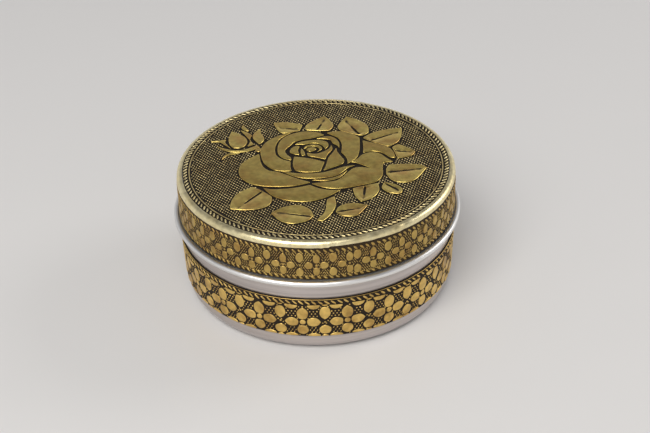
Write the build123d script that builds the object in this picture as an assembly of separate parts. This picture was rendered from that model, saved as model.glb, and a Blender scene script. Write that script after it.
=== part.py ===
from build123d import *
import math
import os

# Round slip-lid tin: a drawn aluminium cup and cap, each dressed in glued-on embossed foil.
# Millimetres, +Z up, origin at the middle of the underside. Heights named z_ are above the floor.

# Sheet, foil and glue
sheet = 0.5                  # aluminium sheet of the cup and the cap
foil = 0.3                   # embossed foil, without its relief
glue = 0.15                  # adhesive film under every foil

# Cup
wall_taper = 1.2             # how much the wall's radius shrinks from the ledge to the floor
heel_radius = 4.3            # rounding between underside and wall
shoulder_height = 27.8       # floor to the ledge that the cap sits on
shoulder_round = 0.12        # broken edge of the ledge
neck_height = 12.8           # neck above the ledge, hidden in the cap
lip_radius = 0.8             # inward roll at the mouth

# Cap
cap_radius = 47.5            # outside of the aluminium wall
cap_height = 16.15           # underside of the rolled edge to the top of the aluminium
cap_corner = 1.1             # outside rounding of the aluminium at the top
roll_reach = 2.5             # how far the rolled edge stands out from the wall
roll_height = 2.1            # height of the rolled edge
roll_turn = 0.35             # bend where the wall turns out into the rolled edge
roll_gap = 0.75              # from the wall to the raw edge of the roll

# Clearances
slip_gap = 0.25              # radial gap between neck and cap
ledge_step = 0.2             # how far the cup's wall stands out past the cap's, at the ledge
trim_gap = 0.2               # between the cap's band and its rolled edge
plate_gap = 0.2              # between the top plate and the band's folded margin

# Foil bands
cup_band_foot = 6.5          # floor to the lower edge of the cup's band
cup_band_width = 15.6        # height of the cup's band
margin_flat = 0.25           # flat part of the cap band's folded margin
margin_drop = 0.9            # that margin's plain foil down the side, above the upper rope
edge_inset = 0.05            # bare foil outside the other borders
border_rise = 0.22           # how far ropes and lines stand off the bands
rope_width = 1.5             # rope borders of the bands
line_width = 0.35            # plain lines along both edges of the cup's band
line_space = 0.05            # between the upper line and the rope under it

# Top plate
top_rope_width = 1.75        # rope round the edge of the top
top_rope_rise = 0.4          # how far it stands off the field
top_line_width = 0.5         # plain ring inside the rope
top_line_rise = 0.25         # how far that ring stands off the field
top_line_space = 0.3         # between the rope and the ring
relief = 0.55                # petals and leaves above the field
rib_width = 0.5              # groove along a leaf's middle
root = 0.1                   # how deep raised forms reach into the foil that carries them
drawn_field_radius = 43.3    # radius of the field that the outlines below were drawn in

# Places worked out from the sizes above
wall_top_radius = cap_radius + ledge_step
wall_foot_radius = wall_top_radius - wall_taper
neck_radius = cap_radius - sheet - slip_gap
z_mouth = shoulder_height + neck_height
z_cap_top = shoulder_height + cap_height
z_field = z_cap_top + glue + foil
z_cap_band = shoulder_height + roll_height + trim_gap
z_cup_band_top = cup_band_foot + cup_band_width
band_radius = cap_radius + glue + foil
margin_radius = cap_radius - cap_corner - margin_flat
plate_radius = margin_radius - plate_gap
top_rope_middle = plate_radius - top_rope_width / 2
top_line_middle = plate_radius - top_rope_width - top_line_space - top_line_width / 2
field_radius = top_line_middle - top_line_width / 2
motif_scale = field_radius / drawn_field_radius

# Rose outlines seen from above, +y away from the front. Each outline is a ring of stretches:
# a stretch is a smooth curve through its points, and it meets the next one in a corner.
rose = {
    "petal_back_right": [
        [(16.7, 15.3), (20.4, 13.2), (23.7, 11.2), (26.1, 9.4)],
        [(26.1, 9.4), (27.3, 6.2), (27.6, 2.6)],
        [(27.6, 2.6), (25.6, 3.3), (23.4, 6.2), (20.0, 7.6), (16.5, 6.8)],
        [(16.5, 6.8), (16.8, 11.0), (16.7, 15.3)]],
    "petal_upper_right": [
        [(3.5, 21.3), (8.3, 22.3), (13.0, 20.2), (15.8, 17.3)],
        [(15.8, 17.3), (15.7, 12.6), (15.3, 7.6), (14.0, 3.0), (10.9, -0.3)],
        [(10.9, -0.3), (10.9, 2.6), (10.1, 5.4), (8.9, 7.7)],
        [(8.9, 7.7), (9.3, 10.6), (9.2, 14.2), (8.1, 17.6), (5.8, 19.7), (3.5, 21.3)]],
    "petal_left": [
        [(-19.6, 8.3), (-23.4, 5.0), (-25.9, 1.2), (-26.5, -2.7), (-25.7, -6.9), (-22.6, -10.9),
         (-17.6, -13.2), (-10.2, -13.8), (-6.0, -13.1), (-2.4, -11.7)],
        [(-2.4, -11.7), (-6.0, -9.3), (-9.6, -6.6), (-13.2, -4.1)],
        [(-13.2, -4.1), (-16.0, -3.2), (-17.9, -0.7), (-18.9, 2.6), (-19.6, 8.3)]],
    "petal_bottom": [
        [(-18.0, -14.1), (-14.9, -15.3), (-10.2, -15.2), (-6.3, -14.6), (-2.7, -13.4)],
        [(-2.7, -13.4), (0.3, -16.2), (4.3, -17.1), (8.2, -17.0)],
        [(8.2, -17.0), (3.2, -21.2), (-3.0, -23.6), (-9.2, -22.8), (-14.6, -19.5), (-18.0, -14.1)]],
    "petal_right": [
        [(-0.9, -12.9), (3.4, -11.9), (6.6, -11.2), (8.6, -9.2), (10.6, -6.2), (12.8, -3.4),
         (14.8, -2.7), (17.6, -3.6)],
        [(17.6, -3.6), (16.4, -1.2), (13.4, 0.6), (11.9, 0.7)],
        [(11.9, 0.7), (14.2, 2.5), (16.4, 5.7), (19.8, 6.9), (22.7, 5.5), (24.6, 2.6), (26.8, 0.1)],
        [(26.8, 0.1), (23.6, -0.4), (22.9, -3.4), (22.6, -8.4), (20.6, -12.2), (15.8, -14.2),
         (8.2, -16.1), (3.0, -15.6), (-0.9, -12.9)]],
    "petal_fold": [
        [(-1.6, -10.1), (2.4, -9.9), (6.0, -8.9), (8.5, -6.9)],
        [(8.5, -6.9), (7.0, -9.9), (3.2, -11.0), (-1.6, -10.1)]],
    "petal_lip": [
        [(-12.5, -3.4), (-7.4, -5.3), (-2.8, -5.9), (2.0, -5.6), (5.6, -4.2), (9.9, -2.1),
         (13.5, -1.4)],
        [(13.5, -1.4), (11.0, -3.0), (9.0, -5.8), (6.7, -7.8), (3.2, -8.9), (-2.4, -9.2),
         (-6.8, -7.9), (-12.5, -3.4)]],
    "petal_outer_left": [
        [(-8.4, 22.3), (-13.0, 20.3), (-17.1, 16.4), (-19.0, 11.7), (-18.9, 6.2), (-17.5, 1.2),
         (-14.4, -3.0)],
        [(-14.4, -3.0), (-11.4, -3.9), (-8.4, -3.9)],
        [(-8.4, -3.9), (-8.7, -0.3), (-8.6, 2.3)],
        [(-8.6, 2.3), (-11.6, 4.1), (-13.7, 7.4), (-13.9, 12.9), (-12.2, 18.2), (-8.4, 22.3)]],
    "petal_crescent": [
        [(2.3, 19.8), (-0.7, 21.8), (-4.2, 22.3), (-8.4, 21.0), (-11.6, 18.0), (-13.1, 13.4),
         (-13.0, 8.0), (-11.2, 4.8), (-8.4, 3.1)],
        [(-8.4, 3.1), (-8.6, 5.1), (-10.3, 7.4), (-10.9, 10.2), (-8.6, 13.3)],
        [(-8.6, 13.3), (-7.0, 15.9), (-3.8, 17.3), (-1.0, 18.1), (2.3, 19.8)]],
    "petal_hood": [
        [(0.3, 17.4), (2.6, 18.5), (5.3, 18.8), (7.4, 17.0), (8.5, 14.0), (8.4, 10.4)],
        [(8.4, 10.4), (7.7, 12.4), (6.1, 14.1)],
        [(6.1, 14.1), (5.4, 16.3), (3.3, 17.1), (0.3, 17.4)]],
    "petal_front": [
        [(-7.5, 5.6), (-3.5, 4.5), (-0.6, 3.4), (2.4, 1.3)],
        [(2.4, 1.3), (1.9, -1.3), (1.3, -4.7)],
        [(1.3, -4.7), (-2.3, -5.1), (-5.0, -4.7), (-7.1, -3.7)],
        [(-7.1, -3.7), (-7.9, -0.3), (-7.8, 2.6), (-7.5, 5.6)]],
    "petal_side": [
        [(7.0, 10.6), (7.4, 8.5), (8.7, 5.3), (9.9, 2.2), (9.4, -0.1)],
        [(9.4, -0.1), (6.7, -1.8), (2.5, -4.3)],
        [(2.5, -4.3), (3.5, -0.5), (4.4, 4.2), (5.8, 7.1), (7.0, 10.6)]],
    "heart_left": [
        [(-9.2, 11.7), (-7.6, 12.6), (-5.4, 12.8)],
        [(-5.4, 12.8), (-6.0, 9.9), (-5.5, 6.4)],
        [(-5.5, 6.4), (-7.6, 7.4), (-9.2, 11.7)]],
    "heart_back": [
        [(-7.3, 13.8), (-5.6, 15.3), (-2.4, 16.3), (1.2, 16.4), (4.1, 15.1), (4.7, 12.6),
         (3.5, 9.6)],
        [(3.5, 9.6), (2.9, 12.0), (1.2, 13.9), (-1.2, 14.4), (-3.9, 13.6)],
        [(-3.9, 13.6), (-5.5, 13.8), (-7.3, 13.8)]],
    "heart_ring": [
        [(-4.3, 10.9), (-3.2, 12.6), (-0.8, 13.5), (1.6, 12.5), (2.4, 10.3), (0.5, 8.0)],
        [(0.5, 8.0), (1.4, 10.1), (0.7, 11.7), (-0.9, 12.4), (-2.9, 11.7), (-3.6, 10.4)],
        [(-3.6, 10.4), (-4.3, 10.9)]],
    "heart_button": [
        [(-3.3, 9.9), (-2.3, 11.3), (-0.4, 11.4), (0.5, 10.3), (-0.6, 9.2), (-2.0, 8.6),
         (-3.3, 9.9)]],
    "heart_post": [
        [(-4.9, 11.3), (-4.0, 9.4), (-3.4, 6.3)],
        [(-3.4, 6.3), (-4.7, 5.9)],
        [(-4.7, 5.9), (-5.2, 8.6), (-4.9, 11.3)]],
    "heart_front": [
        [(-3.0, 8.0), (-2.5, 5.9), (0.3, 4.6), (2.8, 3.1)],
        [(2.8, 3.1), (3.8, 6.4), (5.7, 9.7), (5.6, 13.0)],
        [(5.6, 13.0), (4.7, 10.3), (2.7, 8.3), (0.1, 7.0), (-3.0, 8.0)]],
}

# Leaves: an outline, and the two ends of the groove along the middle.
leaves = {
    "leaf_back_left": ([
        [(-14.9, 29.7), (-10.0, 29.9), (-4.2, 27.8)],
        [(-4.2, 27.8), (-4.7, 25.7), (-5.4, 23.4)],
        [(-5.4, 23.4), (-11.3, 22.1), (-13.4, 25.0), (-14.9, 29.7)]],
        [(-4.2, 24.4), (-10.2, 25.6)]),
    "leaf_back": ([
        [(3.8, 33.6), (5.8, 30.0), (6.8, 26.4), (5.4, 23.0)],
        [(5.4, 23.0), (1.0, 23.1), (-3.3, 23.8)],
        [(-3.3, 23.8), (-3.1, 27.2), (-0.4, 30.3), (3.8, 33.6)]],
        [(0.4, 22.6), (2.5, 28.0)]),
    "leaf_back_right": ([
        [(11.7, 32.8), (15.6, 29.9), (19.0, 25.6), (19.2, 20.6)],
        [(19.2, 20.6), (16.2, 18.9), (9.2, 22.5)],
        [(9.2, 22.5), (8.2, 25.4), (9.6, 29.2), (11.7, 32.8)]],
        [(16.3, 18.4), (13.0, 25.7)]),
    "leaf_right_high": ([
        [(31.2, 23.2), (25.6, 22.4), (20.4, 20.3), (16.9, 17.1)],
        [(16.9, 17.1), (20.4, 13.8), (25.6, 10.4)],
        [(25.6, 10.4), (29.2, 13.6), (30.6, 18.1), (31.2, 23.2)]],
        [(19.0, 14.8), (27.6, 19.3)]),
    "leaf_right_small": ([
        [(26.8, 9.9), (29.3, 11.6), (32.8, 8.8), (34.9, 6.6)],
        [(34.9, 6.6), (33.2, 3.8), (28.3, 2.1)],
        [(28.3, 2.1), (27.6, 6.0), (26.8, 9.9)]],
        [(26.4, 7.6), (31.8, 6.7)]),
    "leaf_right": ([
        [(38.1, -4.3), (35.4, -2.4), (31.2, -1.7), (25.0, -1.8)],
        [(25.0, -1.8), (24.0, -4.4), (23.8, -7.8)],
        [(23.8, -7.8), (25.4, -11.6), (28.7, -13.6), (33.2, -12.3), (38.1, -4.3)]],
        [(23.4, -6.8), (33.4, -5.4)]),
    "leaf_right_low": ([
        [(22.7, -13.0), (21.9, -16.8), (24.4, -19.8), (27.9, -20.4), (28.6, -17.2), (26.2, -14.4),
         (22.7, -13.0)]],
        [(22.2, -12.6), (26.6, -17.6)]),
    "leaf_bottom_right": ([
        [(12.0, -16.3), (16.2, -14.9), (20.8, -13.4)],
        [(20.8, -13.4), (20.9, -18.0), (18.8, -22.3), (14.5, -24.7)],
        [(14.5, -24.7), (12.7, -20.9), (12.0, -16.3)]],
        [(16.4, -14.2), (15.7, -20.6)]),
    "leaf_bottom_left": ([
        [(-21.6, -13.3), (-18.6, -15.7), (-14.9, -19.9)],
        [(-14.9, -19.9), (-15.4, -24.2), (-18.4, -26.8), (-23.6, -27.6), (-28.9, -26.6)],
        [(-28.9, -26.6), (-28.2, -20.9), (-25.9, -16.6), (-21.6, -13.3)]],
        [(-17.8, -15.8), (-24.2, -23.8)]),
    "leaf_front_left": ([
        [(-15.3, -29.8), (-11.6, -26.8), (-6.5, -25.5), (-2.6, -28.0), (-1.1, -32.2)],
        [(-1.1, -32.2), (-3.3, -35.1), (-8.3, -36.6), (-12.2, -34.6), (-15.3, -29.8)]],
        [(-0.8, -33.0), (-10.2, -30.4)]),
    "leaf_front_right": ([
        [(16.8, -27.0), (11.7, -25.4), (7.4, -27.0), (5.9, -30.4)],
        [(5.9, -30.4), (8.4, -33.0), (13.0, -32.8), (16.8, -27.0)]],
        [(5.4, -30.6), (12.4, -28.9)]),
}

# The flower's stem, and the bud with its sepals and twigs.
stem_and_bud = {
    "stem": [
        [(3.3, -22.6), (6.0, -20.8)],
        [(6.0, -20.8), (6.2, -26.6), (4.3, -32.1), (1.7, -35.8)],
        [(1.7, -35.8), (-0.4, -35.0)],
        [(-0.4, -35.0), (2.4, -30.0), (3.3, -22.6)]],
    "bud_left": [
        [(-29.7, 24.8), (-30.6, 19.9), (-30.2, 15.6), (-28.8, 12.9)],
        [(-28.8, 12.9), (-26.4, 12.6), (-24.7, 13.9)],
        [(-24.7, 13.9), (-23.9, 17.2), (-25.2, 20.6), (-29.7, 24.8)]],
    "bud_middle": [
        [(-26.7, 25.4), (-24.1, 23.4), (-22.3, 21.6)],
        [(-22.3, 21.6), (-22.9, 18.4), (-21.5, 14.9)],
        [(-21.5, 14.9), (-23.9, 13.6)],
        [(-23.9, 13.6), (-23.0, 17.0), (-24.2, 20.4), (-26.7, 25.4)]],
    "bud_right": [
        [(-19.4, 26.1), (-21.6, 22.9), (-22.0, 19.4), (-19.7, 14.8)],
        [(-19.7, 14.8), (-18.2, 16.9), (-18.0, 19.6), (-19.1, 22.6), (-19.4, 26.1)]],
    "sepal_top": [
        [(-25.8, 29.2), (-24.6, 27.0), (-23.3, 24.4)],
        [(-23.3, 24.4), (-24.6, 24.6), (-26.2, 26.6), (-25.8, 29.2)]],
    "sepal_left": [
        [(-36.9, 18.3), (-34.0, 18.3), (-31.4, 19.0)],
        [(-31.4, 19.0), (-31.6, 16.6), (-29.4, 12.3)],
        [(-29.4, 12.3), (-32.2, 15.6), (-34.0, 17.3), (-36.9, 17.4)],
        [(-36.9, 17.4), (-36.9, 18.3)]],
    "twig": [
        [(-34.8, 14.6), (-31.4, 12.4), (-28.2, 11.2), (-24.6, 11.6), (-20.4, 14.2)],
        [(-20.4, 14.2), (-19.3, 12.8)],
        [(-19.3, 12.8), (-23.6, 10.2), (-28.6, 9.9), (-31.9, 11.4), (-34.8, 14.6)]],
    "twig_curl": [
        [(-26.4, 9.9), (-29.8, 9.3), (-32.0, 7.6), (-32.7, 4.6)],
        [(-32.7, 4.6), (-31.2, 7.0), (-29.2, 8.4), (-26.4, 8.9)],
        [(-26.4, 8.9), (-26.4, 9.9)]],
    "twig_joint": [
        [(-21.2, 11.2), (-19.2, 12.4)],
        [(-19.2, 12.4), (-18.9, 10.9), (-19.4, 9.5)],
        [(-19.4, 9.5), (-20.6, 10.0), (-21.2, 11.2)]],
}


def turned(profile):
    """Solid of revolution about Z of a face drawn as radius and height."""
    return revolve(Plane.XZ * profile, Axis.Z)


def polygon(*points):
    return make_face(Polyline(*points, close=True))


def rounded(face, point, radius):
    """The face with the one corner that lies nearest to point rounded off."""
    nearest = min(face.vertices(), key=lambda v: (v.center() - Vector(*point)).length)
    return fillet(nearest, radius)


def wall_radius(z):
    """Outside of the cup's slightly tapered wall at height z."""
    return wall_foot_radius + wall_taper * z / shoulder_height


def lip_roll():
    """Section of the lip: the sheet rolled inwards over three quarters of a circle."""
    ring = Circle(lip_radius) - Circle(lip_radius - sheet)
    open_side = Rectangle(lip_radius, lip_radius, align=(Align.MIN, Align.MAX))
    return Pos(neck_radius - lip_radius, z_mouth - lip_radius) * (ring - open_side)


def base_shell():
    ledge = shoulder_height
    lip_foot = z_mouth - lip_radius
    outer = polygon((0, 0), (wall_foot_radius, 0), (wall_top_radius, ledge), (neck_radius, ledge),
                    (neck_radius, lip_foot), (0, lip_foot))
    outer = rounded(outer, (wall_foot_radius, 0), heel_radius)
    outer = rounded(outer, (wall_top_radius, ledge), shoulder_round)
    foot_in = wall_radius(sheet) - sheet
    top_in = wall_radius(ledge) - sheet
    neck_in = neck_radius - sheet
    hollow = polygon((0, sheet), (foot_in, sheet), (top_in, ledge - sheet), (neck_in, ledge - sheet),
                     (neck_in, lip_foot), (0, lip_foot))
    hollow = rounded(hollow, (foot_in, sheet), heel_radius - sheet)
    return turned(outer - hollow + lip_roll())


def box_section(r_low, z_low, r_high, z_high):
    return polygon((r_low, z_low), (r_high, z_low), (r_high, z_high), (r_low, z_high))


def rolled_edge(inset):
    """Filled section of the cap's rolled edge, its sides moved in by inset."""
    wall = cap_radius - sheet
    low = shoulder_height + inset
    high = shoulder_height + roll_height - inset
    reach = cap_radius + roll_reach - inset
    turn = 0.49 * (high - low)
    section = box_section(wall + inset, low, reach, high)
    section = rounded(section, (reach, low), turn)
    return rounded(section, (reach, high), turn)


def lid_shell():
    inside = cap_radius - sheet
    outer = box_section(0, shoulder_height, cap_radius, z_cap_top)
    outer = rounded(outer, (cap_radius, z_cap_top), cap_corner)
    hollow = box_section(0, shoulder_height, inside, z_cap_top - sheet)
    hollow = rounded(hollow, (inside, z_cap_top - sheet), cap_corner - sheet)
    mouth = box_section(cap_radius, shoulder_height + sheet, cap_radius + roll_gap,
                        shoulder_height + roll_height)
    section = outer - hollow + rolled_edge(0) - rolled_edge(sheet) - mouth
    return turned(rounded(section, (inside, shoulder_height), roll_turn))


def cup_skin(inside, outside, low, high):
    """Section of a layer round the cup, between two distances off its wall."""
    return polygon((wall_radius(low) + inside, low), (wall_radius(low) + outside, low),
                   (wall_radius(high) + outside, high), (wall_radius(high) + inside, high))


def bead(radius, height, rise, width):
    """Section of a half-round ring that stands out sideways from a band."""
    return Pos(radius, height) * Ellipse(rise, width / 2)


def ridge(radius, rise, width):
    """Section of a half-round ring that stands up from the field of the top plate."""
    lower_half = Rectangle(width, 2 * rise, align=(Align.CENTER, Align.MAX))
    return Pos(radius, z_field) * (Ellipse(width / 2, rise) - Pos(0, -root) * lower_half)


def base_band():
    z_line = z_cup_band_top - edge_inset - line_width / 2
    z_rope = z_line - line_width / 2 - line_space - rope_width / 2
    z_low_line = cup_band_foot + edge_inset + line_width / 2
    face_off = glue + foil
    section = cup_skin(glue, face_off, cup_band_foot, z_cup_band_top)
    borders = bead(wall_radius(z_rope) + face_off, z_rope, border_rise, rope_width)
    borders += bead(wall_radius(z_line) + face_off, z_line, border_rise, line_width)
    borders += bead(wall_radius(z_low_line) + face_off, z_low_line, border_rise, line_width)
    core = cup_skin(0, glue, cup_band_foot, z_cup_band_top)
    return turned(section + (borders - core))


def base_band_glue():
    return turned(cup_skin(0, glue, cup_band_foot, z_cup_band_top))


def cap_block(outside):
    """Filled section of the cap from its band's lower edge up, grown by outside."""
    block = box_section(margin_radius, z_cap_band, cap_radius + outside, z_cap_top + outside)
    return rounded(block, (cap_radius + outside, z_cap_top + outside), cap_corner + outside)


def lid_band():
    z_top_rope = z_cap_top - cap_corner - margin_drop - rope_width / 2
    z_low_rope = z_cap_band + edge_inset + rope_width / 2
    borders = bead(band_radius, z_top_rope, border_rise, rope_width)
    borders += bead(band_radius, z_low_rope, border_rise, rope_width)
    return turned(cap_block(glue + foil) + borders - cap_block(glue))


def lid_band_glue():
    return turned(cap_block(glue) - cap_block(0))


def outline(stretches):
    """Flat face inside a ring of smooth stretches that meet in corners."""
    edges = []
    for stretch in stretches:
        points = [(x * motif_scale, y * motif_scale) for x, y in stretch]
        edges.append(Spline(*points) if len(points) > 2 else Line(*points))
    return make_face(edges)


def raised(face):
    """A flat outline stood up from the field."""
    return Pos(0, 0, z_field - root) * extrude(face, amount=root + relief)


def groove(start, end):
    """Cutter for the groove along a leaf, from its foot towards its tip."""
    a = Vector(*start) * motif_scale
    b = Vector(*end) * motif_scale
    middle = (a + b) / 2
    angle = math.degrees(math.atan2(b.Y - a.Y, b.X - a.X))
    bar = Box((b - a).length, rib_width, 2 * relief, align=(Align.CENTER, Align.CENTER, Align.MIN))
    return Pos(middle.X, middle.Y, z_field) * Rot(0, 0, angle) * bar


def lid_top_plate():
    plate = box_section(0, z_cap_top + glue, plate_radius, z_field)
    plate += ridge(top_rope_middle, top_rope_rise, top_rope_width)
    plate += ridge(top_line_middle, top_line_rise, top_line_width)
    forms = [raised(outline(stretches)) for stretches in rose.values()]
    forms += [raised(outline(stretches)) for stretches in stem_and_bud.values()]
    forms += [raised(outline(leaf)) - groove(*rib) for leaf, rib in leaves.values()]
    return turned(plate) + forms


def lid_top_glue():
    return turned(box_section(0, z_cap_top, plate_radius, z_cap_top + glue))


nodes = {
    "base_shell": base_shell,
    "base_band": base_band,
    "base_band_glue": base_band_glue,
    "lid_shell": lid_shell,
    "lid_top_plate": lid_top_plate,
    "lid_top_glue": lid_top_glue,
    "lid_band": lid_band,
    "lid_band_glue": lid_band_glue,
}

os.makedirs("parts", exist_ok=True)
for name, build in nodes.items():
    solid = build()
    export_step(solid, f"parts/{name}.step")
    size = solid.bounding_box().size
    print(name, len(solid.solids()), "solid,", [round(v, 2) for v in (size.X, size.Y, size.Z)])
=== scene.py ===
from math import atan2, copysign, cos, exp, hypot, pi, radians, sin, tan, tau
from random import Random
import bmesh
import bpy
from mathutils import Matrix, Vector, kdtree, noise


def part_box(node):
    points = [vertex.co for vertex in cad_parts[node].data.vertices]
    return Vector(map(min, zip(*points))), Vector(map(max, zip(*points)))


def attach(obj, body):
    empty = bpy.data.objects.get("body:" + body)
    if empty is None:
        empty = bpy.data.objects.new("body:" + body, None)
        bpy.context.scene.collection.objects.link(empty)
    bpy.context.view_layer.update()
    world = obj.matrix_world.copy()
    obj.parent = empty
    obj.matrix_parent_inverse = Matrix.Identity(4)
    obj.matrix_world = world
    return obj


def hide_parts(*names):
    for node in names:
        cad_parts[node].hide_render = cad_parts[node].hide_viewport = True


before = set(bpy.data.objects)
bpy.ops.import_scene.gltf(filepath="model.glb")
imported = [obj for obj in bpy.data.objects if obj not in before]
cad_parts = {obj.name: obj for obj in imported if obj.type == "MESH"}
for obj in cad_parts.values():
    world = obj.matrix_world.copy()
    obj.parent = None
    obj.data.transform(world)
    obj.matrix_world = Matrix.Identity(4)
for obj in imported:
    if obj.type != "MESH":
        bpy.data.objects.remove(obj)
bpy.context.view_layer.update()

mm = 0.001  # meshes are drawn in millimetres and brought to metres when a piece is made


def nodeBox(name):
    low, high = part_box(name)
    return [v / mm for v in low], [v / mm for v in high]


# camera

view = {"place": (0.03, -442.8, 312.4), "turn": (56.824, 1.438, -1.277), "lens": 83.08}

lens = bpy.data.cameras.new("camera")
lens.lens = view["lens"]
camera = bpy.data.objects.new("camera", lens)
camera.location = Vector(view["place"]) * mm
camera.rotation_euler = [radians(angle) for angle in view["turn"]]
bpy.context.scene.collection.objects.link(camera)
bpy.context.scene.camera = camera
bpy.context.scene.view_settings.view_transform = "Standard"
print("camera set")


# shader groups

def add(tree, kind, inputs={}, **settings):
    node = tree.nodes.new("ShaderNode" + kind)
    for name, value in settings.items():
        setattr(node, name, value)
    for name, value in inputs.items():
        if isinstance(value, bpy.types.NodeSocket):
            tree.links.new(value, node.inputs[name])
        else:
            node.inputs[name].default_value = value
    return node


def calc(tree, operation, *values):
    return add(tree, "Math", dict(enumerate(values)), operation=operation).outputs[0]


def remap(tree, value, fromLow, fromHigh, toLow, toHigh, smooth=False):
    sockets = {"Value": value, "From Min": fromLow, "From Max": fromHigh, "To Min": toLow, "To Max": toHigh}
    return add(tree, "MapRange", sockets, interpolation_type="SMOOTHSTEP" if smooth else "LINEAR").outputs[0]


def mixColor(tree, factor, a, b, blend="MIX"):
    return add(tree, "Mix", {0: factor, 6: a, 7: b}, data_type="RGBA", blend_type=blend).outputs[2]


def shaded(tree, color, shade):
    gray = add(tree, "CombineColor", {0: shade, 1: shade, 2: shade}).outputs[0]
    return mixColor(tree, 1.0, color, gray, "MULTIPLY")


def shaderGroup(name, inputs, outputs):
    tree = bpy.data.node_groups.new(name, "ShaderNodeTree")
    for label, kind, value in inputs:
        socket = tree.interface.new_socket(label, in_out="INPUT", socket_type="NodeSocket" + kind)
        socket.default_value = value
    for label, kind in outputs:
        tree.interface.new_socket(label, in_out="OUTPUT", socket_type="NodeSocket" + kind)
    return tree, tree.nodes.new("NodeGroupInput").outputs, tree.nodes.new("NodeGroupOutput").inputs


def objectNoise(tree, scale, detail=3.0, stretch=(1, 1, 1)):
    place = add(tree, "TexCoord").outputs["Object"]
    moved = add(tree, "Mapping", {"Vector": place, "Scale": stretch}).outputs[0]
    return add(tree, "TexNoise", {"Vector": moved, "Scale": scale, "Detail": detail}).outputs[0]


def makeAgedFoil():
    # antique foil: gold on what stands up, dark patina where the lift falls to nothing
    tree, given, out = shaderGroup(
        "agedFoil",
        [("Lift", "Float", 1.0), ("Dark Below", "Float", 0.05), ("Gold Above", "Float", 0.3),
         ("Gold", "Color", (0.6, 0.47, 0.2, 1)), ("Tarnish", "Color", (0.4, 0.25, 0.1, 1)),
         ("Patina", "Color", (0.02, 0.012, 0.006, 1)), ("Polish", "Float", 0.3), ("Grain", "Float", 0.5)],
        [("Color", "Color"), ("Roughness", "Float"), ("Metallic", "Float"), ("Normal", "Vector")])
    blotch = objectNoise(tree, 170)
    film = objectNoise(tree, 620, 4)
    grain = objectNoise(tree, 4200, 2)
    brushed = objectNoise(tree, 1100, 2, (0.35, 3.2, 1))
    lifted = calc(tree, "ADD", given["Lift"], remap(tree, film, 0.3, 0.7, -0.04, 0.04))
    clean = remap(tree, lifted, given["Dark Below"], given["Gold Above"], 0, 1, True)
    toned = mixColor(tree, remap(tree, blotch, 0.42, 0.68, 0, 0.85), given["Gold"], given["Tarnish"])
    shade = remap(tree, film, 0.3, 0.75, 0.8, 1.1)
    gold = shaded(tree, toned, shade)
    tree.links.new(mixColor(tree, clean, given["Patina"], gold), out["Color"])
    worn = calc(tree, "ADD", given["Polish"], remap(tree, film, 0.3, 0.7, -0.04, 0.08))
    tree.links.new(remap(tree, clean, 0, 1, 0.7, worn), out["Roughness"])
    tree.links.new(remap(tree, clean, 0, 1, 0.5, 1), out["Metallic"])
    height = calc(tree, "ADD", calc(tree, "MULTIPLY", grain, 0.35), calc(tree, "MULTIPLY", brushed, 0.65))
    bump = add(tree, "Bump", {"Strength": given["Grain"], "Distance": 0.00005, "Height": height})
    tree.links.new(bump.outputs[0], out["Normal"])
    return tree


def makeTurnedMetal():
    # fine lines left by the lathe, running round the axis
    tree, given, out = shaderGroup(
        "turnedMetal",
        [("Metal", "Color", (0.78, 0.77, 0.76, 1)), ("Polish", "Float", 0.25), ("Lines", "Float", 0.4)],
        [("Color", "Color"), ("Roughness", "Float"), ("Normal", "Vector")])
    place = add(tree, "TexCoord").outputs["Object"]
    split = add(tree, "SeparateXYZ", {0: place}).outputs
    radius = calc(tree, "SQRT", calc(tree, "ADD", calc(tree, "MULTIPLY", split[0], split[0]),
                                    calc(tree, "MULTIPLY", split[1], split[1])))
    turn = calc(tree, "ARCTAN2", split[1], split[0])
    squeezed = calc(tree, "MULTIPLY", turn, 0.0006)  # stretches the noise into lines round the axis
    around = add(tree, "CombineXYZ", {0: radius, 1: squeezed, 2: split[2]}).outputs[0]
    lines = add(tree, "TexNoise", {"Vector": around, "Scale": 5200, "Detail": 2}).outputs[0]
    bands = add(tree, "TexNoise", {"Vector": around, "Scale": 900, "Detail": 3}).outputs[0]
    smear = objectNoise(tree, 90, 4)
    tone = remap(tree, bands, 0.3, 0.7, 0.8, 1.08)
    tree.links.new(shaded(tree, given["Metal"], tone), out["Color"])
    rough = calc(tree, "ADD", given["Polish"], remap(tree, smear, 0.3, 0.7, -0.01, 0.1))
    tree.links.new(rough, out["Roughness"])
    height = calc(tree, "ADD", calc(tree, "MULTIPLY", lines, 0.5), bands)
    bump = add(tree, "Bump", {"Strength": given["Lines"], "Distance": 0.00004, "Height": height})
    tree.links.new(bump.outputs[0], out["Normal"])
    return tree


agedFoil = makeAgedFoil()
turnedMetal = makeTurnedMetal()


def makeMaterial(name, group, values, **plain):
    material = bpy.data.materials.new(name)
    material.use_nodes = True
    tree = material.node_tree
    shader = tree.nodes["Principled BSDF"]
    node = tree.nodes.new("ShaderNodeGroup")
    node.node_tree = group
    for label, value in values.items():
        node.inputs[label].default_value = value
    if "Lift" in node.inputs:
        lift = add(tree, "Attribute", attribute_name="lift").outputs["Fac"]
        tree.links.new(lift, node.inputs["Lift"])
    for socket in node.outputs:
        tree.links.new(socket, shader.inputs["Base Color" if socket.name == "Color" else socket.name])
    for label, value in plain.items():
        shader.inputs[label].default_value = value
    return material


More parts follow.
